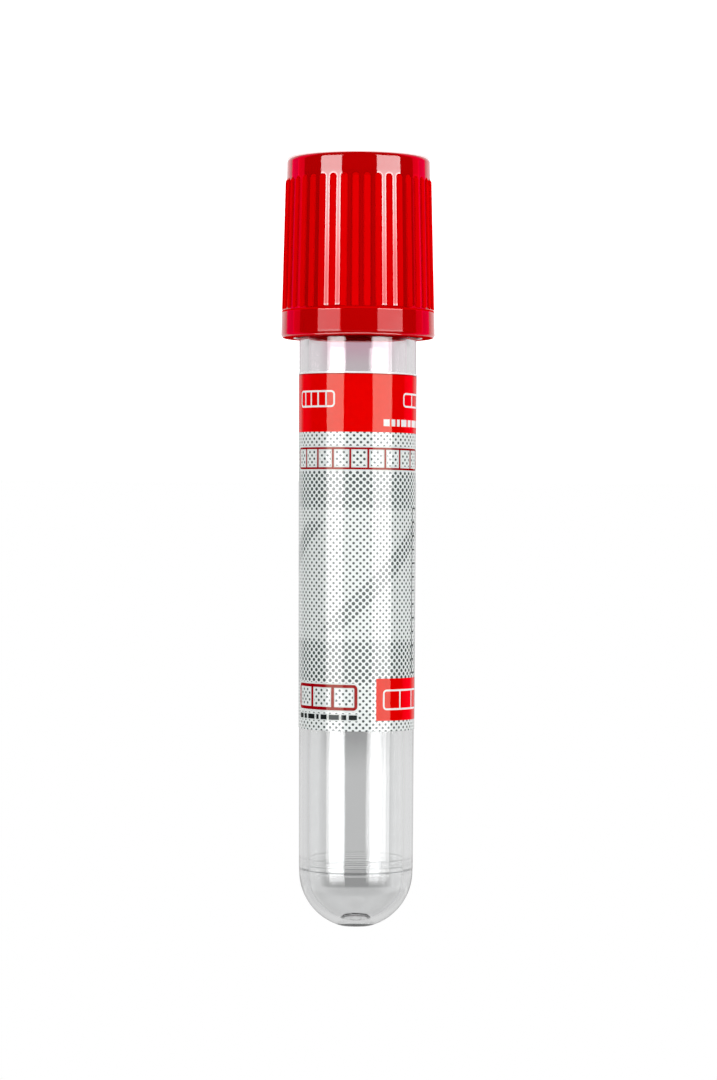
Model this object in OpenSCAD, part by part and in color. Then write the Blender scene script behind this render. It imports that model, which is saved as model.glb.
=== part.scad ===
// Evacuated blood collection tube: a clear moulded tube with a round end, a rubber stopper that seals
// its mouth, a ribbed cap that carries the stopper and covers the mouth, and a printed label.
// Millimetres. The part stands on its head: z = 0 is the flat top of the cap, the axis is Z, and the
// tube's round end points up. -Y is the front of the label.

/* [Tube] */
// Length of the tube, from its mouth to the tip of its round end
tube_length = 75; // [60:1:110]
// Outer diameter at the mouth
tube_mouth_d = 13; // [12:0.1:17]
// How much smaller the outer diameter is where the round end begins
tube_taper = 0.42; // [0:0.02:0.8]
// Thickness of the tube's wall
tube_wall = 1.05; // [0.8:0.05:1.5]
// Distance between the tips of the dome and of the hollow's round end
tube_floor = 0.8; // [0.6:0.05:2]
// Diameter of the flat that ends the hollow
hollow_flat_d = 3.8; // [1:0.1:5]
// Rounding of the mouth's two edges
mouth_round = 0.25; // [0.1:0.05:0.35]
// Step in radius at the mould's parting line
parting_step = 0.03; // [0.01:0.01:0.1]
// Distance from the parting line to the start of the dome
parting_land = 0.3; // [0.1:0.1:2]
// Diameter of the recess round the moulding gate, at its rim
gate_recess_d = 3.5; // [2.4:0.1:5]
// Diameter of the recess at its floor
gate_floor_d = 2.6; // [1.8:0.1:4]
// Depth of the recess below its rim
gate_recess_depth = 0.25; // [0.1:0.05:0.35]
// Diameter of the gate mark on the recess's floor
gate_mark_d = 1.3; // [0.6:0.1:1.6]
// Height of the gate mark
gate_mark_height = 0.1; // [0.05:0.05:0.2]

/* [Cap] */
// Height of the cap
cap_height = 19.8; // [16:0.1:26]
// Length of tube that the cap's skirt covers
skirt_cover = 9.95; // [9:0.05:12]
// Angle of draft on the outside of the cap, in degrees
cap_draft = 1.4; // [0:0.1:2]
// Thickness of the flat top
plate_thickness = 2; // [1.2:0.1:3]
// Thickness of the wall beside the stopper, at the flat top
collar_wall = 0.92; // [0.8:0.02:1.6]
// Diameter of the needle port in the flat top
port_d = 7.6; // [5:0.1:9]
// Bevel round the needle port
port_bevel = 0.4; // [0.1:0.1:0.8]
// Rounding of the top's outer edge
top_round = 0.5; // [0.2:0.1:1]
// Radial clearance between the skirt and the tube
skirt_clearance = 0.35; // [0.2:0.05:0.4]
// Height of the bead that holds the stopper in the cap
bead_height = 1.1; // [0.6:0.1:2]
// Radial clearance between the bead and the tube
bead_clearance = 0.2; // [0.1:0.05:0.25]
// Height of the plain band at the open end
rim_band = 2.85; // [1.5:0.05:4]
// How far the plain band at the open end stands out from the wall
rim_step = 0.14; // [0.05:0.01:0.3]
// Rounding of the open end's outer edge
rim_round = 0.55; // [0.2:0.05:0.8]
// Bevel inside the open end
rim_bevel = 0.35; // [0.1:0.05:0.6]

/* [Grip ribs] */
// Number of ribs round the cap
rib_count = 40; // [24:1:48]
// Height of the plain band between the flat top and the ribs
top_band = 2.25; // [1.5:0.05:4]
// Gap between the ribs' ends and the band at the open end
rib_gap = 0.25; // [0.1:0.05:0.6]
// How far a rib stands out from the wall
rib_height = 0.13; // [0.08:0.01:0.3]
// Width of a rib at its foot
rib_foot_w = 0.84; // [0.5:0.02:0.9]
// Width of a rib at its crest
rib_crest_w = 0.62; // [0.3:0.02:0.7]

/* [Stopper] */
// How far the stopper's flange reaches past the tube's wall
flange_lip = 0.45; // [0.3:0.05:0.8]
// Length of the plug inside the tube
plug_length = 8.4; // [6:0.1:9]
// Length of the plug's tapered tip
plug_tip = 1.3; // [0.6:0.1:2]
// How far the plug's body lies inside its sealing rings
plug_relief = 0.28; // [0.1:0.02:0.5]
// Number of sealing rings
seal_rings = 2; // [1:1:3]
// Height of a sealing ring
seal_height = 1.3; // [0.8:0.1:1.6]
// Radial clearance between a sealing ring and the tube
seal_clearance = 0.03; // [0.02:0.01:0.08]
// Diameter of the needle well at the port
well_d = 6.4; // [4:0.1:7]
// Diameter of the needle well at its floor
well_floor_d = 5.2; // [2:0.1:6]
// Depth of the needle well
well_depth = 4.6; // [3:0.1:5]
// Diameter of the hollow in the plug
hollow_d = 6; // [4:0.1:7]
// Depth of the hollow in the plug
hollow_depth = 7; // [3:0.1:7.2]

/* [Label] */
// Distance from the tube's mouth to the label
label_from_mouth = 13.95; // [12:0.05:20]
// Height of the label, along the tube
label_height = 39; // [25:1:45]
// Thickness of the label's film
label_thickness = 0.06; // [0.04:0.01:0.15]
// Width of the bare strip between the label's two edges
label_window = 5; // [2:0.5:12]
// Thickness of the printed fields
ink_thickness = 0.03; // [0.01:0.01:0.05]
// Height of the printed header
header_height = 6.35; // [3:0.05:9]
// Height of the printed block
block_height = 4.6; // [2:0.1:8]
// Width of the printed block, round the tube
block_width = 11; // [4:0.5:14]
// Distance from the block to the label's far edge
block_from_edge = 1.15; // [0.5:0.05:4]
// Distance from the middle of the label to the block, round the tube
block_from_middle = 2.2; // [0:0.1:4]

/* [Hidden] */
$fn = 96;
EPS = 0.01;          // overlap that a cutting tool needs past the face it opens
ARC_STEPS = 6;       // straight steps in a rounded edge of a turned section
RIB_ROOT = 0.4;      // how far a rib's root is sunk into the cap's wall

// Heights above the cap's flat top
mouth_z = cap_height - skirt_cover;
tip_z = mouth_z + tube_length;
rim_band_z = cap_height - rim_band;
label_z = mouth_z + label_from_mouth;
label_end_z = label_z + label_height;
plug_end_z = mouth_z + plug_length;
bead_end_z = mouth_z + bead_height;

// Radii of the tube, and the heights that follow from them
mouth_r = tube_mouth_d / 2;
end_r = mouth_r - tube_taper / 2;
dome_r = end_r - parting_step;
dome_z = tip_z - dome_r;
parting_z = dome_z - parting_land;
taper = (mouth_r - end_r) / (parting_z - mouth_z);
// the hollow's round end is as wide as the bore where the two meet
hollow_end_r = (mouth_r - tube_wall - taper * (tube_length - tube_floor)) / (1 - taper);
hollow_end_z = tip_z - tube_floor - hollow_end_r;
hollow_flat_z = hollow_end_z + sqrt(pow(hollow_end_r, 2) - pow(hollow_flat_d / 2, 2));
gate_rim_z = dome_z + sqrt(pow(dome_r, 2) - pow(gate_recess_d / 2, 2));

// Radii of the cap
collar_r = mouth_r + flange_lip;
skirt_r = mouth_r + skirt_clearance;
bead_r = mouth_r + bead_clearance;
cap_top_r = collar_r + collar_wall;

// Outer radius of the tube's wall at height z
function tube_r(z) = mouth_r - taper * (z - mouth_z);
// Radius of the tube's bore at height z
function bore_r(z) = tube_r(z) - tube_wall;
// Radius of the stopper's plug between its sealing rings
plug_r = bore_r(plug_end_z) - seal_clearance - plug_relief;
// Radius of the cap's drafted wall at height z
function cap_r(z) = cap_top_r + z * tan(cap_draft);
// Points of a rounded edge in a section, from angle a to angle b
function edge_arc(centre, r, a, b) =
    [for (i = [0:ARC_STEPS]) centre + r * [cos(a + (b - a) * i / ARC_STEPS), sin(a + (b - a) * i / ARC_STEPS)]];

// A film of thickness t that wraps the tube, from height z0 to z1 and from angle a, over the angle sweep
module wrapped_film(z0, z1, lift, t, a, sweep) {
    rotate([0, 0, a])
        rotate_extrude(angle = sweep)
            polygon([
                [tube_r(z0) + lift, z0],
                [tube_r(z0) + lift + t, z0],
                [tube_r(z1) + lift + t, z1],
                [tube_r(z1) + lift, z1]
            ]);
}

// Angle round the tube that a width of film covers
function wrap_angle(width) = width / (2 * PI * tube_r(label_z)) * 360;

// ---------- Tube ----------

module tube_outside() {
    edge_z = mouth_z + mouth_round;
    rotate_extrude()
        polygon(concat(
            [[0, mouth_z]],
            edge_arc([tube_r(edge_z) - mouth_round, edge_z], mouth_round, -90, 0),
            [[end_r, parting_z], [dome_r, parting_z], [dome_r, dome_z], [0, dome_z]]
        ));
    translate([0, 0, dome_z])
        sphere(r = dome_r);
}

module tube_inside() {
    edge_z = mouth_z + mouth_round;
    flare_r = bore_r(edge_z) + mouth_round;
    rotate_extrude()
        polygon(concat(
            [[0, mouth_z - EPS], [flare_r, mouth_z - EPS]],
            edge_arc([flare_r, edge_z], mouth_round, 270, 180),
            [[hollow_end_r, hollow_end_z], [0, hollow_end_z]]
        ));
    intersection() {
        translate([0, 0, hollow_end_z])
            sphere(r = hollow_end_r);
        translate([0, 0, hollow_end_z - 1])
            cylinder(r = 2 * hollow_end_r, h = 1 + hollow_flat_z - hollow_end_z);
    }
}

// The recess that the gate insert leaves at the tip of the dome, with the gate's mark on its floor
module gate_recess() {
    floor_z = gate_rim_z - gate_recess_depth;
    mark_z = floor_z + gate_mark_height;
    rotate_extrude()
        polygon([
            [gate_mark_d / 2, floor_z],
            [gate_floor_d / 2, floor_z],
            [gate_recess_d / 2, gate_rim_z],
            [gate_recess_d / 2, tip_z + 1],
            [0, tip_z + 1],
            [0, mark_z],
            [gate_mark_d / 2, mark_z]
        ]);
}

module tube() {
    color([0.86, 0.89, 0.9, 0.45])
        difference() {
            tube_outside();
            tube_inside();
            gate_recess();
        }
}

// ---------- Stopper ----------

// One sealing ring, whose crest reaches almost to the tube's bore
module seal_ring(z) {
    crest_r = bore_r(z + seal_height / 2) - seal_clearance;
    rotate_extrude()
        polygon([
            [plug_r - plug_relief, z - seal_height / 2],
            [plug_r, z - seal_height / 2],
            [crest_r, z - seal_height / 6],
            [crest_r, z + seal_height / 6],
            [plug_r, z + seal_height / 2],
            [plug_r - plug_relief, z + seal_height / 2]
        ]);
}

module stopper_body() {
    translate([0, 0, plate_thickness])
        cylinder(r = collar_r, h = mouth_z - plate_thickness);
    translate([0, 0, mouth_z - EPS])
        cylinder(r = plug_r, h = plug_length - plug_tip + EPS);
    translate([0, 0, plug_end_z - plug_tip])
        cylinder(r1 = plug_r, r2 = plug_r - plug_tip / 2, h = plug_tip);
}

module stopper() {
    ring_pitch = (plug_length - plug_tip) / seal_rings;
    color([0.2, 0.2, 0.21])
        difference() {
            union() {
                stopper_body();
                for (i = [0:seal_rings - 1])
                    seal_ring(mouth_z + ring_pitch * (i + 0.6));
            }
            translate([0, 0, plate_thickness - EPS])
                cylinder(d1 = well_d, d2 = well_floor_d, h = well_depth + EPS);
            translate([0, 0, plug_end_z - hollow_depth])
                cylinder(d = hollow_d, h = hollow_depth + EPS);
        }
}

// ---------- Cap ----------

// Half section of the cap's wall, from the needle port round the outside to the skirt's inside
module cap_section() {
    port_r = port_d / 2;
    top_edge = edge_arc([cap_r(top_round) - top_round, top_round], top_round, -90, -cap_draft);
    band_r = cap_r(cap_height) + rim_step;
    rim_edge = edge_arc([band_r - rim_round, cap_height - rim_round], rim_round, -cap_draft, 90);
    polygon(concat(
        [[port_r + port_bevel, 0]],
        top_edge,
        [
            [cap_r(rim_band_z), rim_band_z],
            [cap_r(rim_band_z + rim_step) + rim_step, rim_band_z + rim_step]
        ],
        rim_edge,
        [
            [skirt_r + rim_bevel, cap_height],
            [skirt_r, cap_height - rim_bevel],
            [skirt_r, bead_end_z + skirt_clearance - bead_clearance],
            [bead_r, bead_end_z],
            [bead_r, mouth_z + flange_lip - bead_clearance],
            [collar_r, mouth_z],
            [collar_r, plate_thickness],
            [port_r, plate_thickness],
            [port_r, port_bevel]
        ]
    ));
}

// One rib along the drafted wall, with an arched end toward the flat top
module grip_rib() {
    foot_z = top_band;
    end_z = rim_band_z - rib_gap;
    intersection() {
        // a bar of trapezoid section that leans with the draft
        translate([cap_r(0), 0, 0])
            rotate([0, cap_draft, 0])
                linear_extrude(height = 2 * cap_height)
                    polygon([
                        [-RIB_ROOT, -rib_foot_w / 2],
                        [0, -rib_foot_w / 2],
                        [rib_height, -rib_crest_w / 2],
                        [rib_height, rib_crest_w / 2],
                        [0, rib_foot_w / 2],
                        [-RIB_ROOT, rib_foot_w / 2]
                    ]);
        // the rib's outline, cut straight in toward the axis
        translate([cap_r(0) - RIB_ROOT, 0, 0])
            rotate([90, 0, 90])
                linear_extrude(height = 4 * RIB_ROOT) {
                    translate([0, foot_z + rib_foot_w / 2])
                        circle(d = rib_foot_w, $fn = 24);
                    translate([-rib_foot_w / 2, foot_z + rib_foot_w / 2])
                        square([rib_foot_w, end_z - foot_z - rib_foot_w / 2]);
                }
    }
}

module cap() {
    color([0.78, 0, 0.02]) {
        rotate_extrude()
            cap_section();
        for (i = [0:rib_count - 1])
            rotate([0, 0, -90 + 360 / rib_count * (i + 0.25)])
                grip_rib();
    }
}

// ---------- Label and its print ----------

module label() {
    sweep = 360 - wrap_angle(label_window);
    color([0.9, 0.92, 0.91])
        wrapped_film(label_z, label_end_z, 0, label_thickness, -90 - sweep / 2, sweep);
}

module label_header() {
    sweep = 360 - wrap_angle(label_window);
    color([0.85, 0, 0.02])
        wrapped_film(label_z, label_z + header_height, label_thickness, ink_thickness, -90 - sweep / 2, sweep);
}

module label_block() {
    far_z = label_end_z - block_from_edge;
    start = -90 - wrap_angle(block_from_middle);
    sweep = wrap_angle(block_width);
    color([0.85, 0, 0.02])
        wrapped_film(far_z - block_height, far_z, label_thickness, ink_thickness, start - sweep, sweep);
}

tube();
stopper();
cap();
label();
label_header();
label_block();
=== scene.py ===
"""Looks of the blood collection tube: a ribbed cap, a rubber stopper, a clear tube and a printed label.

The part stands on its head: z = 0 is the cap's flat top, and the tube's round end points up. -Y is the
front of the label. Shapes are worked out in millimetres and scaled to metres when a mesh is built.
"""

import math

import bmesh
import bpy
from mathutils import Matrix, Vector


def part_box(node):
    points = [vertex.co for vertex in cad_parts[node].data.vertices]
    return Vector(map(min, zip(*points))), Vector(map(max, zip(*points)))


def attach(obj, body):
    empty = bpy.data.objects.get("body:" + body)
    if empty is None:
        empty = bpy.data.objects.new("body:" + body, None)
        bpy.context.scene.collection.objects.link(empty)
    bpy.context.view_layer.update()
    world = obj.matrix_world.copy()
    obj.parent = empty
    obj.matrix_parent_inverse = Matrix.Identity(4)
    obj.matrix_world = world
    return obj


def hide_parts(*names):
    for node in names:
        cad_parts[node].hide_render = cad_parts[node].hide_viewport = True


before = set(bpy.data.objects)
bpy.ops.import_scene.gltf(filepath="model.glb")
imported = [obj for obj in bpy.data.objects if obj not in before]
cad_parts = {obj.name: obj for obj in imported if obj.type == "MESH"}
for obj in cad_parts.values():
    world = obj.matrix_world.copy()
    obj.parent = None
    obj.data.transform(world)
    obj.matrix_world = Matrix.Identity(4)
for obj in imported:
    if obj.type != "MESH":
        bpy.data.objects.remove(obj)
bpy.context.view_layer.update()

MM = 0.001
TAU = 2 * math.pi


# ---------------------------------------------------------------- sizes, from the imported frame

def low_high(node):
    """Lowest and highest corner of a CAD node, in millimetres."""
    low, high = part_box(node)
    return low / MM, high / MM


tube_low, tube_high = low_high("tube")
label_low, label_high = low_high("label")

MOUTH_Z = tube_low.z
TIP_Z = tube_high.z
CAP_END = low_high("cap")[1].z
STOPPER_END = low_high("stopper")[1].z
LABEL_Z = label_low.z
LABEL_END = label_high.z
HEADER_END = low_high("label_header")[1].z

MOUTH_R = 6.5                  # tube
END_R = 6.29
WALL = 1.05
LIP = 0.25                     # round of the mouth's edges
FLOOR = 0.8
HOLLOW_FLAT = 1.9              # radius of the hollow's flattened end
GATE_RIM = 1.75                # recess at the round end
GATE_FLOOR = 1.3
GATE_DEPTH = 0.25
NUB_R = 0.65                   # low spot in its middle
NUB_DEPTH = 0.1
SLOPE_R = 1.5                  # where its side turns steeper
PIN_R = 1.44                   # mark of the mould's core pin, in the hollow
PIN_DEPTH = 0.16
THINNER = 0.06                 # how much thinner the wall is past the shoulder
DOME_R = END_R - 0.03
DOME_Z = TIP_Z - math.sqrt(DOME_R ** 2 - GATE_RIM ** 2)
PARTING_Z = DOME_Z - 0.3
TAPER = (MOUTH_R - END_R) / (PARTING_Z - MOUTH_Z)
POLE_Z = DOME_Z + DOME_R       # where the dome's tip would be without the recess
HOLLOW_R = (MOUTH_R - WALL - TAPER * (POLE_Z - MOUTH_Z - FLOOR)) / (1 - TAPER)
HOLLOW_Z = POLE_Z - FLOOR - HOLLOW_R

CAP_TOP_R = 7.87               # cap
DRAFT_DEGREES = 1.4
DRAFT = math.tan(math.radians(DRAFT_DEGREES))
TOP_ROUND = 0.5
RIM_STEP = 0.14                # the plain band stands out from the wall between the ribs
RIM_ROUND = 0.42
COLLAR_R = 6.95                # stopper's seat
SKIRT_R = 6.85
BEAD_R = 6.7
PORT_R = 3.8
PORT_BEVEL = 0.4
PLATE = 2.0


def tube_r(z):
    return MOUTH_R - TAPER * (z - MOUTH_Z)


def cap_r(z):
    return CAP_TOP_R + z * DRAFT


def smooth(value, low, high):
    """0 below low, 1 above high, and an even curve between them."""
    t = min(max((value - low) / (high - low), 0.0), 1.0)
    return t * t * (3 - 2 * t)


# ---------------------------------------------------------------- node graphs

class Graph:
    """Short way to write a node tree: values that are sockets are linked, others are set."""

    def __init__(self, tree):
        self.tree = tree
        tree.nodes.clear()

    def node(self, kind, settings=None, **inputs):
        made = self.tree.nodes.new(kind)
        for name, value in (settings or {}).items():
            setattr(made, name, value)
        for name, value in inputs.items():
            key = int(name[1:]) if name[0] == "_" and name[1:].isdigit() else name.replace("_", " ")
            self.feed(made.inputs[key], value)
        return made

    def feed(self, socket, value):
        if isinstance(value, bpy.types.NodeSocket):
            self.tree.links.new(value, socket)
        else:
            socket.default_value = value

    def math(self, operation, a, b=0.0):
        return self.node("ShaderNodeMath", {"operation": operation}, _0=a, _1=b).outputs[0]

    def product(self, first, *others):
        for other in others:
            first = self.math("MULTIPLY", first, other)
        return first

    def total(self, a, b):
        return self.math("ADD", a, b)

    def rest(self, value):
        """What is left of 1."""
        return self.math("SUBTRACT", 1.0, value)

    def ramp(self, value, low, high, to_low=0.0, to_high=1.0):
        made = self.node("ShaderNodeMapRange", {"interpolation_type": "SMOOTHSTEP"},
                         _0=value, _1=low, _2=high, _3=to_low, _4=to_high)
        return made.outputs[0]

    def band(self, value, low, high, soft):
        rise = self.ramp(value, low - soft, low + soft)
        fall = self.ramp(value, high - soft, high + soft, 1.0, 0.0)
        return self.math("MULTIPLY", rise, fall)

    def blend(self, factor, a, b):
        """A number between a and b."""
        return self.node("ShaderNodeMix", None, _0=factor, _2=a, _3=b).outputs[0]

    def mix(self, factor, a, b):
        """A colour between a and b."""
        made = self.node("ShaderNodeMix", {"data_type": "RGBA"}, _0=factor, _6=a, _7=b)
        return made.outputs[2]

    def noise(self, vector, scale, detail=2.0, rough=0.5):
        made = self.node("ShaderNodeTexNoise", None, Vector=vector, Scale=scale, Detail=detail,
                         Roughness=rough)
        return made.outputs[0]

    def bump(self, height, distance):
        return self.node("ShaderNodeBump", None, Height=height, Distance=distance, Strength=1.0).outputs[0]

    def split(self, vector):
        return self.node("ShaderNodeSeparateXYZ", None, Vector=vector).outputs

    def principled(self, **inputs):
        shader = self.node("ShaderNodeBsdfPrincipled", None, **inputs)
        self.node("ShaderNodeOutputMaterial", None, Surface=shader.outputs[0])


def rgb(r, g, b):
    return (r, g, b, 1.0)


def new_material(name):
    material = bpy.data.materials.new(name)
    material.use_nodes = True
    return material, Graph(material.node_tree)


def place(graph):
    """Coordinates of the piece itself, in metres."""
    return graph.node("ShaderNodeTexCoord").outputs["Object"]


# ---------------------------------------------------------------- cap plastic

def cap_plastic(name, red, rough, specular, grain, waves=0.0):
    """Moulded red plastic: a little uneven in tone and gloss, with the mould's fine texture."""
    material, g = new_material(name)
    where = place(g)
    cloud = g.noise(where, 260.0, 3.0)
    dark = rgb(red * 0.94, 0.0, 0.0)
    light = rgb(red * 1.05, 0.0, red * 0.002)
    colour = g.mix(cloud, dark, light)
    fine = g.noise(where, 5200.0, 2.0, 0.6)
    uneven = g.ramp(g.noise(where, 900.0, 2.0), 0.3, 0.75, rough * 0.8, rough * 1.3)
    normal = g.bump(fine, grain * MM)
    if waves:
        squeeze = g.node("ShaderNodeMapping", None, Vector=where, Scale=(60.0, 60.0, 1500.0)).outputs[0]
        lines = g.node("ShaderNodeBump", None, Height=g.noise(squeeze, 1.0, 2.0), Distance=waves * MM,
                       Normal=normal)
        normal = lines.outputs[0]
    g.principled(Base_Color=colour, Roughness=uneven, Specular_IOR_Level=specular, IOR=1.5, Normal=normal)
    return material


# Seven copies of the one red plastic, each with gloss of its own. The crests (satin) and the ribs' flanks are
# painted lighter red than the rest: painted light.
cap_gloss = cap_plastic("cap_gloss", 0.46, 0.04, 0.5, 0.0006, 0.0008)
cap_satin_painted_light = cap_plastic("cap_satin_painted_light", 0.73, 0.5, 0.0, 0.006)
cap_edge = cap_plastic("cap_edge", 0.45, 0.03, 1.0, 0.0003)
cap_flank_painted_light = cap_plastic("cap_flank_painted_light", 0.66, 0.5, 0.0, 0.002)
cap_band = cap_plastic("cap_band", 0.49, 0.04, 0.28, 0.0005, 0.0022)
cap_inner = cap_plastic("cap_inner", 0.55, 0.45, 0.0, 0.003)
cap_top = cap_plastic("cap_top", 0.48, 0.04, 0.45, 0.0005, 0.003)
CAP_LOOKS = [cap_gloss, cap_satin_painted_light, cap_edge, cap_flank_painted_light, cap_band, cap_inner, cap_top]
GLOSS, SATIN_PAINTED_LIGHT, EDGE, FLANK_PAINTED_LIGHT, BAND, INNER, TOP = range(7)


# ---------------------------------------------------------------- meshes

def arc(centre_r, centre_z, radius, start, end, steps):
    """Points of a circular edge in a turned section, angles in degrees."""
    points = []
    for i in range(steps + 1):
        a = math.radians(start + (end - start) * i / steps)
        points.append((centre_r + radius * math.cos(a), centre_z + radius * math.sin(a)))
    return points


def supported(points, reach=0.04):
    """Adds a point near each end of a long straight step, which keeps the shading flat between them."""
    out = [points[0]]
    for (r0, z0), (r1, z1) in zip(points, points[1:]):
        length = math.hypot(r1 - r0, z1 - z0)
        if length > 5 * reach:
            t = reach / length
            out.append((r0 + (r1 - r0) * t, z0 + (z1 - z0) * t))
            out.append((r1 - (r1 - r0) * t, z1 - (z1 - z0) * t))
        out.append((r1, z1))
    return out


class Shell:
    """Points in millimetres and faces with material numbers, built into one object."""

    def __init__(self):
        self.points = []
        self.faces = []
        self.looks = []

    def ring(self, points):
        first = len(self.points)
        self.points.extend(points)
        return list(range(first, len(self.points)))

    def face(self, corners, look=0):
        self.faces.append(corners)
        self.looks.append(look)

    def bridge(self, a, b, look=0):
        """Faces between two closed loops of as many points."""
        for i in range(len(a)):
            j = (i + 1) % len(a)
            self.face([a[i], a[j], b[j], b[i]], look)

    def turn(self, profile, segments, phase=0.0, looks=None):
        """Turns a section of (radius, height) points round the Z axis."""
        rings = []
        for r, z in profile:
            turned = []
            for i in range(segments):
                a = phase + TAU * i / segments
                turned.append((r * math.cos(a), r * math.sin(a), z))
            rings.append(self.ring(turned))
        for i in range(len(rings) - 1):
            self.bridge(rings[i], rings[i + 1], looks[i] if looks else 0)

    def build(self, name, body, slot, replaced, looks, sharp=40.0, weld=0.0005):
        mesh = bpy.data.meshes.new(name)
        mesh.from_pydata([(x * MM, y * MM, z * MM) for x, y, z in self.points], [], self.faces)
        for look in looks:
            mesh.materials.append(look)
        mesh.polygons.foreach_set("material_index", self.looks)
        work = bmesh.new()
        work.from_mesh(mesh)
        bmesh.ops.remove_doubles(work, verts=work.verts, dist=weld * MM)
        bmesh.ops.dissolve_degenerate(work, edges=work.edges, dist=weld * MM * 0.1)
        bmesh.ops.recalc_face_normals(work, faces=work.faces)
        for face in work.faces:
            face.smooth = True
        work.to_mesh(mesh)
        work.free()
        mesh.set_sharp_from_angle(angle=math.radians(sharp))
        piece = bpy.data.objects.new(name, mesh)
        bpy.context.scene.collection.objects.link(piece)
        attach(piece, body)
        if replaced:
            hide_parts(replaced)
        return piece


# ---------------------------------------------------------------- cap

RIBS = 40
RIB_PITCH = TAU / RIBS
RIB_PHASE = math.radians(-90) + RIB_PITCH * 0.25
ACROSS = 10                 # columns across one rib's cell, and in the turned parts beside it
RIB_HEIGHT = 0.13
ARCH_Z = 2.67               # centre of a rib's arched end
SQUARE_Z = 16.36            # centre of a rib's square end
CELL_Z = 1.95               # where the ribs' cells begin
CELL_END = 16.78            # where they end, on the slope up to the plain band
COVE_Z = 16.47
COVE_END = 17.0

# Contours of a rib, from its middle out: half width, reach toward the arched end, reach toward the
# square end, share of the rib's height, and the material of the strip that ends at the contour
CONTOURS = [
    (0.000, 0.000, 0.000, 1.00, SATIN_PAINTED_LIGHT),
    (0.150, 0.060, 0.120, 1.00, SATIN_PAINTED_LIGHT),
    (0.270, 0.100, 0.235, 1.00, SATIN_PAINTED_LIGHT),
    (0.288, 0.115, 0.252, 1.00, SATIN_PAINTED_LIGHT),
    (0.304, 0.135, 0.268, 0.96, SATIN_PAINTED_LIGHT),
    (0.316, 0.155, 0.280, 0.86, FLANK_PAINTED_LIGHT),
    (0.324, 0.175, 0.288, 0.74, FLANK_PAINTED_LIGHT),
    (0.368, 0.330, 0.332, 0.14, FLANK_PAINTED_LIGHT),
    (0.378, 0.350, 0.342, 0.04, FLANK_PAINTED_LIGHT),
    (0.392, 0.375, 0.352, 0.00, FLANK_PAINTED_LIGHT),
    (0.402, 0.390, 0.360, 0.00, FLANK_PAINTED_LIGHT),
    (0.510, 0.520, 0.400, 0.00, EDGE),
]


def cove(z):
    """Rise of the slope that leads from the wall between the ribs up to the plain band."""
    return RIM_STEP * smooth(z, COVE_Z, COVE_END)


def reach(contour, end, angle):
    """Distance from the end's centre to a contour, in the direction of the angle."""
    across, along = contour[0], contour[1 + end]
    power = 2.0 if end == 0 else 6.0
    if across == 0:
        return 0.0
    c, s = abs(math.cos(angle)) / across, abs(math.sin(angle)) / along
    return (c ** power + s ** power) ** (-1 / power)


def cell_outline():
    """Points round a rib's cell: side (-1 or 1 across, in shares of the cell), height, end, angle."""
    rows = 5
    half = cap_r(ARCH_Z) * RIB_PITCH / 2
    walk = []
    for i in range(rows + 1):
        walk.append((1.0, ARCH_Z + (CELL_Z - ARCH_Z) * i / rows, 0))
    for i in range(1, ACROSS):
        walk.append((1.0 - 2.0 * i / ACROSS, CELL_Z, 0))
    for i in range(rows + 1):
        walk.append((-1.0, CELL_Z + (ARCH_Z - CELL_Z) * i / rows, 0))
    sides = 7
    for i in range(1, sides):
        walk.append((-1.0, ARCH_Z + (SQUARE_Z - ARCH_Z) * i / sides, None))
    for i in range(rows + 1):
        walk.append((-1.0, SQUARE_Z + (CELL_END - SQUARE_Z) * i / rows, 1))
    for i in range(1, ACROSS):
        walk.append((-1.0 + 2.0 * i / ACROSS, CELL_END, 1))
    for i in range(rows + 1):
        walk.append((1.0, CELL_END + (SQUARE_Z - CELL_END) * i / rows, 1))
    for i in range(1, sides):
        walk.append((1.0, SQUARE_Z + (ARCH_Z - SQUARE_Z) * i / sides, None))
    outline = []
    for share, z, end in walk:
        centre = ARCH_Z if end == 0 else SQUARE_Z
        angle = math.atan2(z - centre, share * half) if end is not None else 0.0
        outline.append((share, z, end, angle))
    return outline


def add_ribs(shell):
    outline = cell_outline()
    for rib in range(RIBS):
        middle = RIB_PHASE + RIB_PITCH * rib
        rings = []
        for contour in CONTOURS:
            ring = []
            for share, z, end, angle in outline:
                if end is None:
                    across, height = contour[0] * share, z
                else:
                    length = reach(contour, end, angle)
                    across = length * math.cos(angle)
                    height = (SQUARE_Z if end else ARCH_Z) + length * math.sin(angle)
                foot = cove(height)
                rise = foot + (RIB_HEIGHT - foot) * contour[3]
                r = cap_r(height) + rise
                a = middle + across / cap_r(height)
                ring.append((r * math.cos(a), r * math.sin(a), height))
            rings.append(shell.ring(ring))
        edge = []
        for share, z, end, angle in outline:
            r = cap_r(z) + cove(z)
            a = middle + share * RIB_PITCH / 2
            edge.append((r * math.cos(a), r * math.sin(a), z))
        rings.append(shell.ring(edge))
        for i in range(1, len(rings)):
            look = CONTOURS[i][4] if i < len(CONTOURS) else GLOSS
            shell.bridge(rings[i - 1], rings[i], look)


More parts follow.
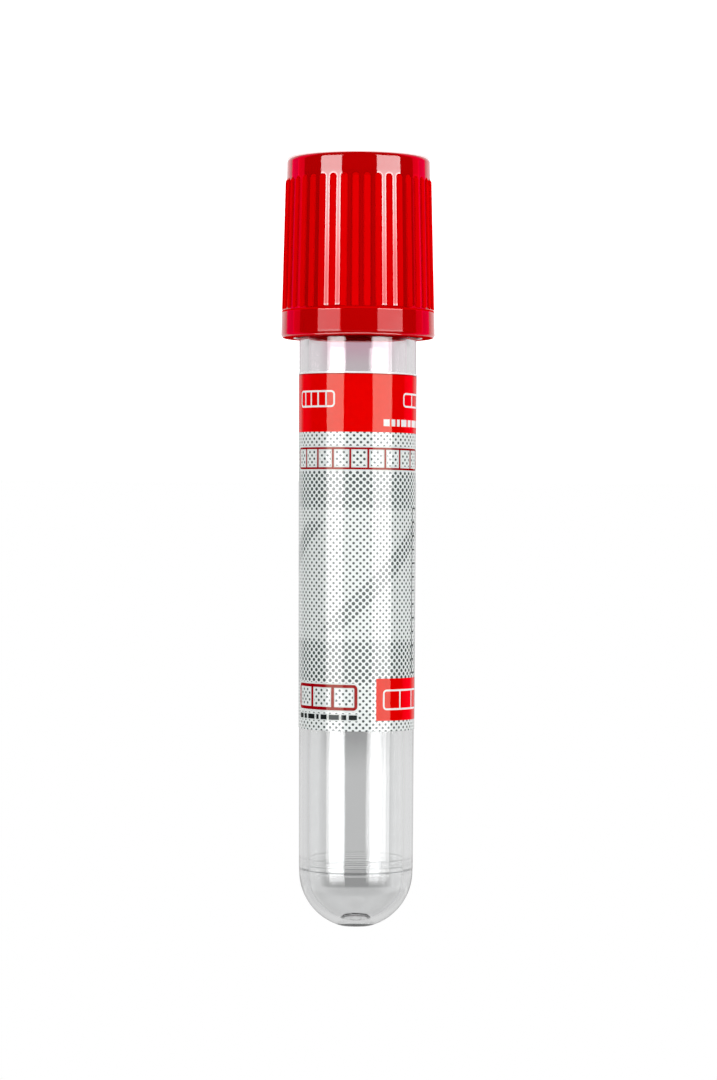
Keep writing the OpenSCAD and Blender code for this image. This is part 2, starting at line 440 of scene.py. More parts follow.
def build_cap():
    shell = Shell()
    phase = RIB_PHASE + RIB_PITCH / 2
    segments = RIBS * ACROSS
    top_edge = arc(cap_r(TOP_ROUND) - TOP_ROUND, TOP_ROUND, TOP_ROUND, -90, -DRAFT_DEGREES, 12)
    below = TOP_ROUND + 0.06
    top = [(PORT_R + PORT_BEVEL, 0.0)] + top_edge + [(cap_r(below), below), (cap_r(CELL_Z), CELL_Z)]
    top = supported(top)
    top_looks = [EDGE if 0.49 < z < 0.55 else TOP for r, z in top]
    shell.turn(top, segments, phase, top_looks)
    band_r = cap_r(CAP_END) + RIM_STEP
    rise = [(cap_r(z) + cove(z), z) for z in (CELL_END, 16.84, 16.9, 16.95, 16.98, COVE_END)]
    first = cap_r(COVE_END) + RIM_STEP
    last_z = CAP_END - RIM_ROUND
    band = [(first, COVE_END), (first + 0.06 * DRAFT, COVE_END + 0.06)]
    band += [(band_r - (RIM_ROUND + 0.08) * DRAFT, last_z - 0.08)]
    rim = arc(band_r - RIM_ROUND, last_z, RIM_ROUND, -DRAFT_DEGREES, 84, 18)
    under = arc(SKIRT_R + 0.28, CAP_END - 0.17, 0.17, 90, 180, 8)
    outer = supported(band + rim + [(band_r - RIM_ROUND - 0.05, CAP_END)] + under)
    wall = [
        (SKIRT_R, CAP_END - 0.43),
        (SKIRT_R, MOUTH_Z + 1.25),
        (BEAD_R + 0.02, MOUTH_Z + 1.12),
        (BEAD_R, MOUTH_Z + 1.06),
        (BEAD_R, MOUTH_Z + 0.29),
        (BEAD_R + 0.02, MOUTH_Z + 0.23),
        (COLLAR_R, MOUTH_Z),
        (COLLAR_R, PLATE),
        (PORT_R, PLATE),
        (PORT_R, PORT_BEVEL + 0.02),
        (PORT_R + 0.02, PORT_BEVEL - 0.02),
        (PORT_R + PORT_BEVEL - 0.02, 0.02),
        (PORT_R + PORT_BEVEL, 0.0),
    ]
    inside = supported([outer[-1]] + wall)

    def outer_look(r, z):
        if z < COVE_END + 0.05:
            return EDGE
        if z < last_z:
            return BAND
        if z < last_z + RIM_ROUND * 0.8 or r < SKIRT_R + 0.3:
            return GLOSS
        return INNER

    inner_looks = [INNER if z > 0.5 else GLOSS for r, z in inside[:-1]]
    shell.turn(rise, segments, phase, [FLANK_PAINTED_LIGHT] * (len(rise) - 1))
    shell.turn(outer, segments, phase, [outer_look(r, z) for r, z in outer[:-1]])
    shell.turn(inside, segments, phase, inner_looks)
    add_ribs(shell)
    return shell.build("cap_shell", "closure", "cap_plastic", "cap", CAP_LOOKS)


# ---------------------------------------------------------------- clear tube

def painted_shade_plastic(name, tone, clearness):
    """The mould's mark at the round end, in the same plastic, dull and darkened; the dark tone is painted
    shade.
    """
    material, g = new_material(name)
    speck = g.noise(place(g), 3000.0, 3.0)
    colour = g.mix(speck, rgb(tone, tone, tone), rgb(tone * 1.5, tone * 1.55, tone * 1.55))
    g.principled(Base_Color=colour, Roughness=0.2, IOR=1.57, Transmission_Weight=clearness,
                 Normal=g.bump(speck, 0.002 * MM))
    return material


def clear_plastic(name="clear_pet", specular=0.5):
    """Clear moulded plastic with slight flow lines, the mould's parting line and faint rings by it; the dark
    tint of these lines is painted shade.
    """
    material, g = new_material(name)
    where = place(g)
    swirl = g.noise(where, 90.0, 2.0)
    flow = g.node("ShaderNodeMapping", None, Vector=where, Scale=(500.0, 500.0, 40.0)).outputs[0]
    pulled = g.noise(flow, 1.0, 2.0)
    height = g.total(g.product(swirl, 0.6), g.product(pulled, 0.4))
    clear = g.mix(swirl, rgb(0.965, 0.972, 0.975), rgb(0.985, 0.988, 0.988))
    level = g.product(g.split(where)[2], 1 / MM)
    # Near the cap the clear plastic turns faintly pink: painted red light from the cap.
    warm = g.ramp(level, LABEL_Z - 1.5, LABEL_Z + 1.5, 1.0, 0.0)
    colour = g.mix(warm, clear, rgb(0.983, 0.95, 0.968))
    # The parting line is in the shape; its dark tint here, and that of two lines below it, is painted shade.
    line = g.band(level, PARTING_Z, PARTING_Z + 0.05, 0.025)
    second = g.band(level, PARTING_Z - 0.5, PARTING_Z - 0.44, 0.03)
    third = g.band(level, PARTING_Z - 1.24, PARTING_Z - 1.2, 0.03)
    painted_shade_lines = g.math("MAXIMUM", line, g.product(g.total(second, third), 0.45))
    colour = g.mix(painted_shade_lines, colour, rgb(0.30, 0.31, 0.31))
    rings = 0.0
    for ring_z in (PARTING_Z - 1.22, PARTING_Z - 0.8, PARTING_Z - 0.62, PARTING_Z + 0.36):
        rings = g.total(rings, g.band(level, ring_z - 0.05, ring_z + 0.05, 0.07))
    height = g.total(height, g.product(rings, 1.8))
    g.principled(Base_Color=colour, Roughness=0.0, IOR=1.57, Transmission_Weight=1.0,
                 Specular_IOR_Level=specular, Normal=g.bump(height, 0.003 * MM))
    return material


def build_tube():
    def thinned(r, z):
        """A point of the hollow, let out a little past the shoulder of the round end."""
        swell = smooth(z, DOME_Z + 0.1, DOME_Z + 2.3) * (1 - smooth(z, DOME_Z + 2.3, DOME_Z + 4.6))
        scale = 1 + THINNER * swell / HOLLOW_R
        return r * scale, HOLLOW_Z + (z - HOLLOW_Z) * scale

    floor_z = TIP_Z - GATE_DEPTH
    nub_z = floor_z + NUB_DEPTH
    rim_r = GATE_RIM + 0.02
    profile = [(0.0, nub_z), (NUB_R - 0.1, nub_z), (NUB_R - 0.03, nub_z - 0.02), (NUB_R, floor_z)]
    profile += [(GATE_FLOOR, floor_z), (GATE_FLOOR + 0.02, floor_z + 0.02), (SLOPE_R, floor_z + 0.11)]
    profile += [(GATE_RIM - 0.03, TIP_Z - 0.03), (GATE_RIM - 0.01, TIP_Z - 0.003)]
    profile += [(rim_r, DOME_Z + math.sqrt(DOME_R * DOME_R - rim_r * rim_r))]
    start = math.degrees(math.acos((GATE_RIM + 0.05) / DOME_R))
    profile += arc(0.0, DOME_Z, DOME_R, start, 0.0, 48)
    wall = [
        (DOME_R, PARTING_Z + 0.2),
        (DOME_R + 0.005, PARTING_Z + 0.12),
        (END_R - 0.006, PARTING_Z - 0.02),
        (END_R, PARTING_Z - 0.12),
    ]
    edge_z = MOUTH_Z + LIP
    outer_lip = arc(tube_r(edge_z) - LIP, edge_z, LIP, 0, -90, 10)
    inner_lip = arc(tube_r(edge_z) - WALL + LIP, edge_z, LIP, 270, 180, 10)
    wall += [(tube_r(z), z) for z in (70.0, 60.0, 50.0, 40.0, 30.0, 20.0)]
    wall += outer_lip + inner_lip
    wall += [(tube_r(z) - WALL, z) for z in (20.0, 30.0, 40.0, 50.0, 60.0, 70.0)]
    end = math.degrees(math.acos(HOLLOW_FLAT / HOLLOW_R))
    hollow = [thinned(r, z) for r, z in arc(0.0, HOLLOW_Z, HOLLOW_R, 0.0, end, 120)]
    flat_z = HOLLOW_Z + math.sqrt(HOLLOW_R ** 2 - HOLLOW_FLAT ** 2)
    hollow += [(PIN_R + 0.04, flat_z), (PIN_R, flat_z + PIN_DEPTH), (0.0, flat_z + PIN_DEPTH)]
    profile = supported(profile + wall + hollow)
    shell = Shell()

    plain, rim, end_part, pin = range(4)

    def look(start, end):
        if start[1] > POLE_Z - FLOOR + 0.2 and SLOPE_R - 0.01 < start[0] and end[0] < GATE_RIM:
            return rim
        if start[0] == PIN_R + 0.04 and end[0] == PIN_R:
            return pin
        return end_part if min(start[1], end[1]) > PARTING_Z - 0.03 else plain

    shell.turn(profile, 256, 0.0, [look(a, b) for a, b in zip(profile, profile[1:])])
    looks = [
        clear_plastic(),
        # The recess's rim and the pin mark's edge are darkened as painted shade; the pin's edge is opaque and
        # nearly black.
        painted_shade_plastic("gate_rim_painted_shade", 0.4, 0.7),
        clear_plastic("clear_dome", 0.2),
        painted_shade_plastic("pin_edge_painted_shade", 0.03, 0.0),
    ]
    return shell.build("tube_shell", "vial", "clear_plastic", "tube", looks, 50.0)


# ---------------------------------------------------------------- stopper

CUP_DEPTH = 4.6                # hollow under the port
FLANGE_ROUND = 0.2
SEAL_RINGS = 2
RING_GAP = 0.03                # between a sealing ring and the bore
RING_HEIGHT = 0.28             # of a ring above the plug
RING_REACH = 0.65              # from a ring's crest to its foot
PLUG_LENGTH = 8.4
PLUG_TIP = 1.3                 # of that, the bevelled tip
PLUG_HOLLOW_R = 3.0
PLUG_HOLLOW = 7.0


def rubber():
    """Dull black rubber with a fine speckle."""
    material, g = new_material("butyl_rubber")
    where = place(g)
    cloud = g.noise(where, 420.0, 3.0)
    speck = g.noise(where, 4200.0, 2.0, 0.7)
    colour = g.mix(cloud, rgb(0.018, 0.018, 0.019), rgb(0.042, 0.041, 0.042))
    g.principled(Base_Color=colour, Roughness=g.ramp(speck, 0.3, 0.7, 0.48, 0.62),
                 Specular_IOR_Level=0.4, Normal=g.bump(speck, 0.008 * MM))
    return material


def build_stopper():
    end_z = STOPPER_END
    body_r = tube_r(end_z) - WALL - RING_GAP - RING_HEIGHT
    tip_z = end_z - PLUG_TIP
    cup_z = PLATE + CUP_DEPTH
    flange_r = COLLAR_R - 0.02 - FLANGE_ROUND
    root = 0.25
    profile = [(0.0, cup_z), (2.45, cup_z), (2.58, cup_z - 0.08)]
    profile += [(3.17, PLATE + 0.12), (3.24, PLATE + 0.03), (3.32, PLATE), (COLLAR_R - 0.2, PLATE)]
    profile += arc(flange_r, PLATE + FLANGE_ROUND, FLANGE_ROUND, -80, 0, 5)
    profile += arc(flange_r, MOUTH_Z - 0.02 - FLANGE_ROUND, FLANGE_ROUND, 0, 80, 5)
    profile += [(COLLAR_R - 0.3, MOUTH_Z - 0.001), (body_r + root, MOUTH_Z - 0.001)]
    profile += arc(body_r + root, MOUTH_Z - 0.001 + root, root, 270, 180, 5)
    for i in range(SEAL_RINGS):
        z = MOUTH_Z + (PLUG_LENGTH - PLUG_TIP) / SEAL_RINGS * (i + 0.6)
        crest = tube_r(z + RING_REACH) - WALL - RING_GAP
        profile += [(body_r, z - RING_REACH), (body_r + 0.03, z - RING_REACH + 0.07), (crest - 0.03, z - 0.3)]
        profile += arc(crest - 0.3, z, 0.3, -40, 40, 8)
        profile += [(crest - 0.03, z + 0.3), (body_r + 0.03, z + RING_REACH - 0.07), (body_r, z + RING_REACH)]
    profile += [(body_r, tip_z), (body_r - 0.03, tip_z + 0.08)]
    profile += [(body_r - 0.6, end_z - 0.12), (body_r - 0.68, end_z - 0.02), (body_r - 0.76, end_z)]
    hollow_z = end_z - PLUG_HOLLOW
    profile += [(PLUG_HOLLOW_R + 0.1, end_z), (PLUG_HOLLOW_R + 0.03, end_z - 0.03)]
    profile += [(PLUG_HOLLOW_R, end_z - 0.1), (PLUG_HOLLOW_R, hollow_z + 0.2)]
    profile += [(PLUG_HOLLOW_R - 0.06, hollow_z + 0.06), (PLUG_HOLLOW_R - 0.2, hollow_z), (0.0, hollow_z)]
    shell = Shell()
    shell.turn(supported(profile), 144)
    return shell.build("stopper_body", "closure", "stopper_rubber", "stopper", [rubber()])


# ---------------------------------------------------------------- label

SKEW = math.tan(math.radians(0.4))     # the film was put on a little askew
FILM_GAP = 0.006
FILM = 0.05
INK = 0.012
HALO = 0.16                    # plain film round a mark, clear of the dots
WINDOW = 5.0                   # bare strip at the back
BLOCK_START = 2.2              # red block, round from the front
BLOCK_STOP = 13.2
SCALE_LOW = 38.5               # tick scales
SCALE_TICKS = 12
TICK = 1.5
DOT_PITCH = 0.75
DOT_ROWS = 0.73
DOT_SMALL = 0.272
DOT_LARGE = 0.36


def wrapped(u, z, lift):
    """Point on the tube: u millimetres round from the front toward the right of the label, z along."""
    a = -math.pi / 2 - u / tube_r(LABEL_Z)
    height = z + u * SKEW
    r = tube_r(height) + lift
    return (r * math.cos(a), r * math.sin(a), height)


class Sheet(Shell):
    """Thin flat shapes wrapped round the tube."""

    def patch(self, u0, u1, z0, z1, lift, thickness, look=0, columns=0, back=None):
        count = columns or max(2, int(abs(u1 - u0) / 0.25))
        loops = []
        for i in range(count + 1):
            u = u0 + (u1 - u0) * i / count
            corners = [(z0, lift), (z1, lift), (z1, lift + thickness), (z0, lift + thickness)]
            loops.append(self.ring([wrapped(u, z, height) for z, height in corners]))
        for a, b in zip(loops, loops[1:]):
            self.face([a[0], a[1], b[1], b[0]], look if back is None else back)
            for i in range(1, 4):
                j = (i + 1) % 4
                self.face([a[i], a[j], b[j], b[i]], look)
        self.face(loops[0][::-1], look)
        self.face(loops[-1], look)

    def frame(self, u0, u1, z0, z1, corner, line, lift, thickness, look=0):
        """An outlined box with round corners."""
        loops = []
        for inset, height in ((0, lift), (0, lift + thickness), (line, lift + thickness), (line, lift)):
            radius = max(corner - inset, 0.02)
            loop = []
            centres = (
                (u1 - inset - radius, z1 - inset - radius, 0),
                (u0 + inset + radius, z1 - inset - radius, 90),
                (u0 + inset + radius, z0 + inset + radius, 180),
                (u1 - inset - radius, z0 + inset + radius, 270),
            )
            for k, (u, z, turn) in enumerate(centres):
                for i in range(5):
                    a = math.radians(turn + 90 * i / 4)
                    loop.append(wrapped(u + radius * math.cos(a), z + radius * math.sin(a), height))
                u_next, z_next = centres[(k + 1) % 4][:2]
                a = math.radians(turn + 90)
                steps = 48 if k % 2 == 0 else 4
                for i in range(1, steps):
                    along_u = u + (u_next - u) * i / steps + radius * math.cos(a)
                    along_z = z + (z_next - z) * i / steps + radius * math.sin(a)
                    loop.append(wrapped(along_u, along_z, height))
            loops.append(self.ring(loop))
        for a, b in zip(loops, loops[1:] + loops[:1]):
            self.bridge(a, b, look)

    def comb(self, u0, u1, z0, z1, cells, line, lift, look, halo=None):
        """A row of write-in cells with shared sides and round outer corners."""
        thick = INK * 0.5
        walls = [u0 + (u1 - u0) * i / cells for i in range(1, cells)]
        if halo is not None:
            self.frame(u0 - HALO, u1 + HALO, z0 - HALO, z1 + HALO, 0.6, line + 2 * HALO, lift, thick, halo)
            for u in walls:
                self.patch(u - line / 2 - HALO, u + line / 2 + HALO, z0, z1, lift, thick, halo)
        raised = lift + INK * 0.6
        self.frame(u0, u1, z0, z1, 0.45, line, raised, thick, look)
        for u in walls:
            self.patch(u - line / 2, u + line / 2, z0 + line / 2, z1 - line / 2, raised, thick, look)


def film_coordinates(g):
    """Distance round the tube and along it, in millimetres, of a point on the label."""
    x, y, z = g.split(place(g))
    angle = g.math("ARCTAN2", x, g.product(y, -1.0))
    around = g.product(angle, -tube_r(LABEL_Z))
    level = g.math("SUBTRACT", g.product(z, 1 / MM), g.product(around, SKEW))
    return around, level


def film_waves(g):
    """Slight waves that the film has from being wound on."""
    where = place(g)
    broad = g.noise(where, 420.0, 2.0)
    fine = g.noise(where, 1600.0, 1.0)
    both = g.total(broad, g.product(fine, 0.5))
    return g.bump(both, 0.009 * MM)


def label_film():
    """White film, printed with a halftone of dark dots whose size changes in zones along the label."""
    material, g = new_material("printed_film")
    around, level = film_coordinates(g)
    u = g.math("DIVIDE", around, DOT_PITCH)
    v = g.math("DIVIDE", level, DOT_ROWS)
    a = g.math("SUBTRACT", g.math("FRACT", g.total(u, v)), 0.5)
    b = g.math("SUBTRACT", g.math("FRACT", g.math("SUBTRACT", u, v)), 0.5)
    distance = g.math("SQRT", g.total(g.product(a, a), g.product(b, b)))
    upper = g.band(level, 34.6, 38.6, 0.3)
    lower = g.band(level, 53.0, 57.6, 0.5)
    streak = g.band(g.math("PINGPONG", g.total(level, around), 7.0), 5.6, 7.6, 0.5)
    middle = g.band(level, 40.0, 52.0, 0.8)
    zones = g.math("MAXIMUM", g.math("MAXIMUM", upper, lower), g.product(streak, middle))
    size = g.ramp(zones, 0.0, 1.0, DOT_SMALL, DOT_LARGE)
    ink = g.ramp(g.math("SUBTRACT", distance, size), -0.045, 0.045, 1.0, 0.0)
    margin = g.ramp(level, LABEL_Z + 0.2, LABEL_Z + 0.24)
    ink = g.product(ink, margin)
    tone = g.noise(place(g), 700.0, 2.0)
    white = g.mix(tone, rgb(0.83, 0.865, 0.855), rgb(0.86, 0.89, 0.88))
    white = g.mix(margin, rgb(0.95, 0.97, 0.97), white)
    colour = g.mix(ink, white, rgb(0.035, 0.055, 0.052))
    g.principled(Base_Color=colour, Roughness=0.38, Specular_IOR_Level=0.35, Coat_Weight=1.0,
                 Coat_Roughness=0.06, Coat_IOR=1.62, Normal=film_waves(g), Coat_Normal=film_waves(g))
    return material


def film_back():
    """Inside of the film: the header's red shows, and a glow stands for light that comes through it."""
    material, g = new_material("film_back")
    level = film_coordinates(g)[1]
    red = g.band(level, LABEL_Z + 0.25, HEADER_END, 0.05)
    tone = g.noise(place(g), 700.0, 2.0)
    plain = g.mix(tone, rgb(0.50, 0.54, 0.54), rgb(0.56, 0.60, 0.60))
    colour = g.mix(red, plain, rgb(0.62, 0.03, 0.05))
    g.principled(Base_Color=colour, Roughness=0.5, Specular_IOR_Level=0.3, Emission_Color=colour,
                 Emission_Strength=0.55)
    return material


def printed_ink(name, colour, warmth=rgb(1.0, 0.93, 0.74)):
    """Glossy ink, a little uneven, darker in a thin strip at the label's edge; warmth tints its reflections.
    """
    material, g = new_material(name)
    tone = g.noise(place(g), 1500.0, 3.0)
    level = film_coordinates(g)[1]
    edge = g.ramp(level, LABEL_Z + 0.16, LABEL_Z + 0.24, 0.45, 1.0)
    shade = g.product(edge, g.ramp(tone, 0.2, 0.8, 0.95, 1.02))
    full = g.mix(shade, rgb(0, 0, 0), rgb(*colour))
    g.principled(Base_Color=full, Roughness=0.045, IOR=1.4, Specular_IOR_Level=0.5,
                 Specular_Tint=warmth, Normal=film_waves(g))
    return material


def build_label():
    around = TAU * tube_r(LABEL_Z)
    half = (around - WINDOW) / 2
    film = Sheet()
    film.patch(-half, half, LABEL_Z - 0.1, LABEL_END, FILM_GAP, FILM, 0, 200, 1)
    film.build("label_film", "vial", "label_film", "label", [label_film(), film_back()], weld=0.0002)
    red = printed_ink("red_ink", (0.80, 0.0, 0.0))
    top = FILM_GAP + FILM
    header = Sheet()
    header.patch(-half, half, LABEL_Z + 0.08, HEADER_END + 0.12, top, INK, 0, 200)
    header_piece = header.build("header_print", "vial", "red_print", "label_header", [red], weld=0.0002)
    block = Sheet()
    block.patch(BLOCK_START, BLOCK_STOP, LABEL_END - 5.75, LABEL_END - 1.15, top, INK, 0, 60)
    block_piece = block.build("block_print", "vial", "red_print", "label_block", [red], weld=0.0002)
    return top, [header_piece, block_piece]


def build_marks(top):
    """Generic marks where the lettering would be: ruled write-in fields, check boxes and plain lines."""
    looks = [
        printed_ink("outline_ink", (0.33, 0.0, 0.004)),
        printed_ink("white_ink", (0.88, 0.88, 0.88)),
        printed_ink("black_ink", (0.012, 0.016, 0.016), rgb(0.9, 1.0, 0.98)),
        printed_ink("film_white", (0.75, 0.79, 0.78)),
    ]
    dark, white, black, plain = range(4)
    thick = INK * 0.5
    above = top + INK * 1.1
    marks = Sheet()
    marks.comb(-8.6, 9.0, 31.95, 34.35, 9, 0.22, top, dark, plain)
    marks.comb(-8.3, 0.1, 57.75, 60.55, 3, 0.34, top, dark, plain)
    u = -8.2
    for length in (0.9, 0.5, 1.1, 0.35, 0.8, 1.2, 0.55, 0.9):
        marks.patch(u - 0.12, u + length + 0.12, 60.93, 61.7, top, thick, plain)
        marks.patch(u, u + length, 61.05, 61.58, top + INK * 0.6, thick, black)
        u += length + 0.28
    marks.comb(-7.9, -2.5, 25.75, 27.6, 5, 0.2, above, white)
    marks.comb(5.6, 10.8, 25.9, 27.5, 3, 0.2, above, white)
    u = 2.9
    for length in (0.75, 0.5, 0.4, 0.9, 0.65, 1.1, 0.8, 0.5):
        marks.patch(u, u + length, 28.85, 29.6, above, thick, white)
        u += length + 0.25
    marks.comb(3.0, 12.4, 58.25, 60.5, 4, 0.2, above, white)
    for i in range(3):
        u = 7.7 + 2.1 * i
        marks.patch(u, u + 0.16, SCALE_LOW, SCALE_LOW + SCALE_TICKS * TICK, top, thick, black)
        for k in range(SCALE_TICKS + 1):
            z = SCALE_LOW + TICK * k
            marks.patch(u + 0.08, u + (0.8 if k % 4 else 1.2), z - 0.09, z + 0.09, top, thick, black)
    return marks.build("label_marks", "vial", "label_film", None, looks, weld=0.0001)


# ---------------------------------------------------------------- studio

DARK = 0.004                   # level of the dark surroundings
LAMP_DISTANCE = 400
LAMP_HEIGHT = 1.2
LENS = 106.7
PITCH = 0.372                  # degrees that the camera looks up
LEAN = -0.231                  # and leans to the side
STANDPOINT = (-0.15, -353.7, 39.75)


def world_direction(g):
    """Azimuth from the front toward +X and elevation, in degrees, of a direction in the world."""
    x, y, z = g.split(g.node("ShaderNodeTexCoord").outputs["Generated"])
    azimuth = g.math("DEGREES", g.math("ARCTAN2", x, g.product(y, -1.0)))
    elevation = g.math("DEGREES", g.math("ARCSINE", z))
    return azimuth, elevation


def softboxes(g, azimuth, elevation):
    """Two tall softboxes in front, one on each side; the left one's inner edge steps in higher up."""
    inner = g.ramp(elevation, 2.5, 5.0, 27.0, 24.5)
    left = g.product(g.ramp(g.math("SUBTRACT", azimuth, inner), -0.6, 0.6),
                     g.ramp(azimuth, 61.9, 63.1, 1.0, 0.0))
    right = g.band(azimuth, -70.5, -29.5, 0.6)
    return g.product(g.total(left, right), g.band(elevation, -32.0, 23.0, 0.6))


def behind_levels(g, azimuth, side, elevation, neck):
    """Brightness of the wall behind, as the clear plastic shows it."""
    minus_x = g.ramp(side, 112.0, 150.0, 0.72, 0.84)
    plus_x = g.ramp(side, 112.0, 150.0, 0.58, 0.79)
    edges = g.blend(g.ramp(azimuth, -10.0, 10.0), minus_x, plus_x)
    rim = g.product(neck, g.ramp(side, 125.0, 150.0, 0.8, 0.0))
    edges = g.product(edges, g.rest(rim))
    shade = g.blend(g.ramp(side, 170.0, 178.0), edges, 0.62)
    gap = g.product(g.ramp(elevation, -2.2, -1.2), g.ramp(elevation, 3.6, 4.65, 1.0, 0.0))
    gap = g.product(gap, g.ramp(side, 169.0, 176.0, 0.05, 0.39))
    shade = g.product(shade, g.rest(gap))
    return g.blend(g.ramp(elevation, 6.5, 10.0), shade, 0.7)


def studio_world():
    """Surroundings by direction alone: two tall softboxes, a pale wall behind and dark between them.

    The narrow steps in brightness were fitted to where the reflections lie from the front.
    Rays that pass straight through clear plastic, rays mirrored inside it, rays mirrored by a surface
    and diffuse light each get a level of their own, and the camera sees plain white.
    """
    world = bpy.data.worlds.new("studio")
    world.use_nodes = True
    g = Graph(world.node_tree)
    azimuth, elevation = world_direction(g)
    side = g.math("ABSOLUTE", azimuth)
    boxes = softboxes(g, azimuth, elevation)

    # how bright the boxes are along their height: the cap sees the low part, the tube the high part
    low = g.total(g.ramp(elevation, -8.5, -6.9, 11.0, 4.6), g.ramp(elevation, -6.0, -5.8, 0.0, 1.2))
    neck = g.product(g.band(elevation, -3.82, -2.96, 0.04), g.ramp(elevation, -3.55, -3.36, 0.62, 0.3))
    mid = g.ramp(elevation, -1.7, 3.5, 1.0, 0.72)
    high = g.product(g.ramp(elevation, 6.3, 9.0, 1.0, 0.6), g.ramp(elevation, 8.0, 20.0, 1.0, 0.1))
    fade = g.product(mid, high, g.rest(neck))

    # what a surface mirrors
    panels = g.product(boxes, g.product(low, fade))
    side_wall = g.product(g.ramp(side, 130.0, 148.0, 0.0, 0.54), g.ramp(elevation, -42.0, -18.0))
    room = g.product(g.band(elevation, -0.3, 3.8, 0.4), g.band(azimuth, -26.0, 22.0, 2.0))
    dim = g.total(g.product(room, 1.6), DARK)
    mirror = g.total(panels, g.total(side_wall, dim))

    # what shows straight through the clear plastic
    behind = g.ramp(side, 96.0, 112.0)
    shade = behind_levels(g, azimuth, side, elevation, neck)
    front = g.total(g.product(g.band(side, 24.0, 62.0, 12.0), 0.2), 0.64)
    straight = g.blend(behind, front, shade)

    # what the clear plastic mirrors inside its wall
    above = g.product(g.ramp(elevation, 25.0, 45.0), g.ramp(side, 25.0, 55.0, 0.35, 1.0))
    wall = g.product(g.math("MAXIMUM", behind, above), shade)
    wall = g.product(wall, g.ramp(elevation, -15.0, -7.0, 0.15, 1.0))
    seen_in = g.product(g.product(boxes, fade), g.ramp(elevation, -26.0, -6.5, 0.0, 5.8))
    mirrored = g.total(seen_in, g.total(wall, DARK))

    # diffuse light
    lobes = g.product(g.band(side, 27.0, 66.0, 3.0), g.ramp(azimuth, -10.0, 10.0, 1.9, 1.7))
    far = g.product(g.ramp(side, 100.0, 128.0), g.ramp(azimuth, -10.0, 10.0, 2.15, 1.75))
    far = g.product(far, g.ramp(side, 138.0, 152.0, 1.0, 0.3))
    diffuse = g.total(g.total(lobes, far), 0.24)

    path = g.node("ShaderNodeLightPath").outputs
    through = g.blend(g.math("MINIMUM", path["Glossy Depth"], 1.0), straight, mirrored)
    level = g.blend(path["Is Glossy Ray"], diffuse, mirror)
    level = g.blend(path["Is Transmission Ray"], level, through)

    # the cap's red, faintly, in what shows through the neck
    blush = g.product(path["Is Transmission Ray"], g.ramp(side, 168.0, 176.0))
    blush = g.product(blush, g.ramp(elevation, -5.5, -4.5), g.ramp(elevation, -3.15, -2.7, 1.0, 0.25))
    blush = g.product(blush, g.ramp(elevation, -2.4, -1.6, 1.0, 0.0))
    green = g.product(level, g.rest(g.product(blush, 0.28)))
    blue = g.product(level, g.rest(g.product(blush, 0.17)))
    seen = g.node("ShaderNodeCombineColor", None, _0=level, _1=green, _2=blue).outputs[0]
    colour = g.mix(path["Is Camera Ray"], seen, rgb(1.0, 1.0, 1.0))
    background = g.node("ShaderNodeBackground", None, Color=colour, Strength=1.0)
    g.node("ShaderNodeOutputWorld", None, Surface=background.outputs[0])
    bpy.context.scene.world = world


def lamp(name, shape, size, size_y, colour, power, place_mm, receivers):
    """An area light aimed at the part, that only the listed pieces mirror."""
    data = bpy.data.lights.new(name, "AREA")
    data.shape = shape
    data.size = size
    data.size_y = size_y
    data.color = colour
    data.energy = power
    light = bpy.data.objects.new(name, data)
    bpy.context.scene.collection.objects.link(light)
    light.location = Vector(place_mm) * MM
    aim = Vector((0.0, 0.0, 40.0)) * MM - light.location
    light.rotation_euler = aim.to_track_quat("-Z", "Y").to_euler()
    light.visible_camera = False
    light.visible_diffuse = False
    light.visible_transmission = False
    light.light_linking.receiver_collection = receivers


def family(name, pieces):
    group = bpy.data.collections.new(name)
    for piece in pieces:
        group.objects.link(piece)
    return group


def build_lamps(cap, prints):
    """Strips beside and behind that give the red pieces their saturated edges, and a disk above."""
    reds = family("prints", prints)
    caps = family("caps", [cap])

    def beside(azimuth, height=40):
        turn = math.radians(azimuth)
        return (math.sin(turn) * LAMP_DISTANCE, -math.cos(turn) * LAMP_DISTANCE, height)

    def strip(name, width, height, colour, power, place_mm, receivers):
        lamp(name, "RECTANGLE", width, height, colour, power, place_mm, receivers)

    for name, side, shine in (("left", 1, 0.45), ("right", -1, 1.0)):
        strip("warm_" + name, 0.12, LAMP_HEIGHT, (1.0, 0.0, 0.03), 2.2, beside(side * 105), caps)
        strip("rose_" + name, 0.16, LAMP_HEIGHT, (1.0, 0.0, 0.1), 1.9, beside(side * 123), caps)
        strip("edge_" + name, 0.32, LAMP_HEIGHT, (1.0, 0.97, 0.98), 0.74, beside(side * 156), caps)
        strip("print_" + name, 0.22, LAMP_HEIGHT, (1.0, 0.0, 0.04), 2.4 * shine, beside(side * 118), reds)
    for name, azimuth, width in (("band_left", 43.8, 0.28), ("band_right", -50.0, 0.3)):
        strip(name, width, 0.028, (1.0, 0.0, 0.0), 0.53 * width, beside(azimuth, -34), caps)
    lamp("overhead", "DISK", 0.62, 0.62, (1.0, 0.93, 0.93), 6.0, (0, 60, 520), caps)


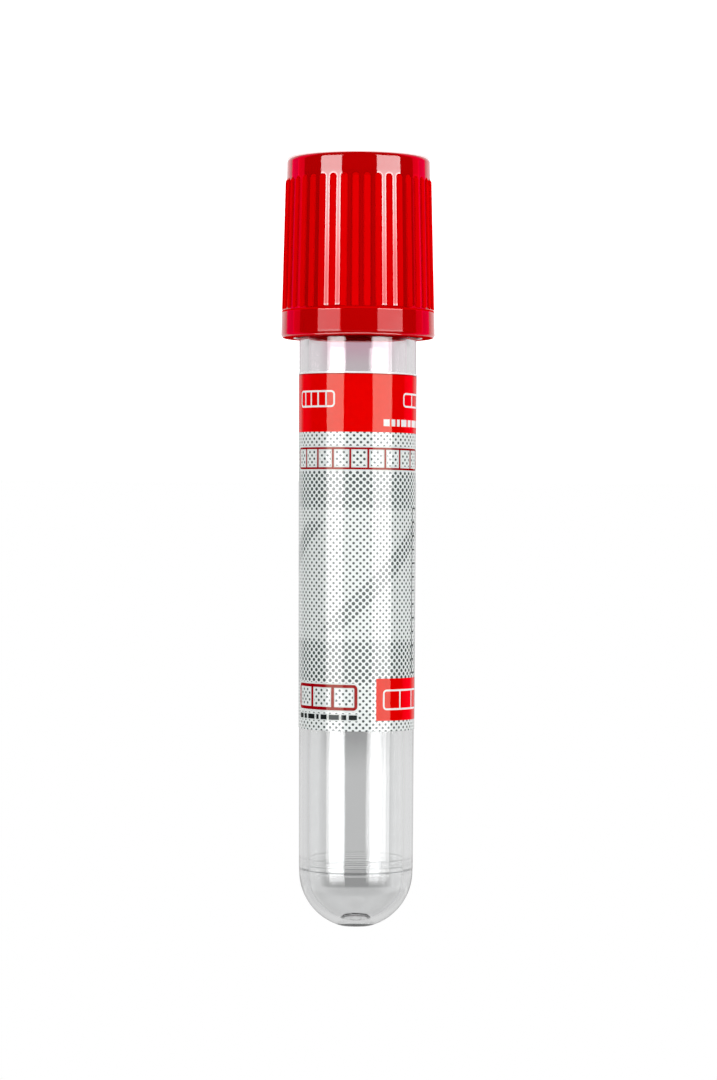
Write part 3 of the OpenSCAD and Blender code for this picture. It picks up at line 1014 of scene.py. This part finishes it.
def build_floor():
    """Plain pale floor that shows from above only and takes no part in shadows and reflections."""
    mesh = bpy.data.meshes.new("floor")
    size = 3.0
    mesh.from_pydata([(-size, -size, 0), (size, -size, 0), (size, size, 0), (-size, size, 0)], [],
                     [(0, 1, 2, 3)])
    floor = bpy.data.objects.new("floor", mesh)
    bpy.context.scene.collection.objects.link(floor)
    material, g = new_material("pale_floor")
    shade = g.node("ShaderNodeBsdfDiffuse", None, Color=rgb(0.9, 0.9, 0.9))
    glow = g.node("ShaderNodeEmission", None, Color=rgb(1, 1, 1), Strength=0.55)
    lit = g.node("ShaderNodeAddShader", None, _0=shade.outputs[0], _1=glow.outputs[0])
    clear = g.node("ShaderNodeBsdfTransparent")
    under = g.node("ShaderNodeNewGeometry").outputs["Backfacing"]
    mixed = g.node("ShaderNodeMixShader", None, _0=under, _1=lit.outputs[0], _2=clear.outputs[0])
    g.node("ShaderNodeOutputMaterial", None, Surface=mixed.outputs[0])
    mesh.materials.append(material)
    floor.location.z = -0.00002
    floor.visible_diffuse = False
    floor.visible_glossy = False
    floor.visible_transmission = False
    floor.visible_shadow = False


def place_camera():
    """The camera stands in front, level with the middle of the label, and hangs upside down."""
    data = bpy.data.cameras.new("camera")
    data.lens = LENS
    data.sensor_width = 36.0
    data.clip_start = 0.01
    data.clip_end = 20.0
    camera = bpy.data.objects.new("camera", data)
    bpy.context.scene.collection.objects.link(camera)
    pitch = math.radians(PITCH)
    forward = Vector((0.0, math.cos(pitch), math.sin(pitch)))
    right = Vector((-1.0, 0.0, 0.0))
    up = (-forward).cross(right)
    turn = Matrix.Rotation(math.radians(LEAN), 3, forward)
    right = turn @ right
    up = turn @ up
    basis = Matrix((right, up, -forward)).transposed().to_4x4()
    camera.matrix_world = Matrix.Translation(Vector(STANDPOINT) * MM) @ basis
    bpy.context.scene.camera = camera


cap_piece = build_cap()
build_stopper()
build_tube()
film_top, red_prints = build_label()
build_marks(film_top)
studio_world()
build_lamps(cap_piece, red_prints)
build_floor()
place_camera()

scene = bpy.context.scene
scene.view_settings.view_transform = "Standard"
scene.cycles.max_bounces = 24
scene.cycles.glossy_bounces = 8
scene.cycles.transmission_bounces = 20
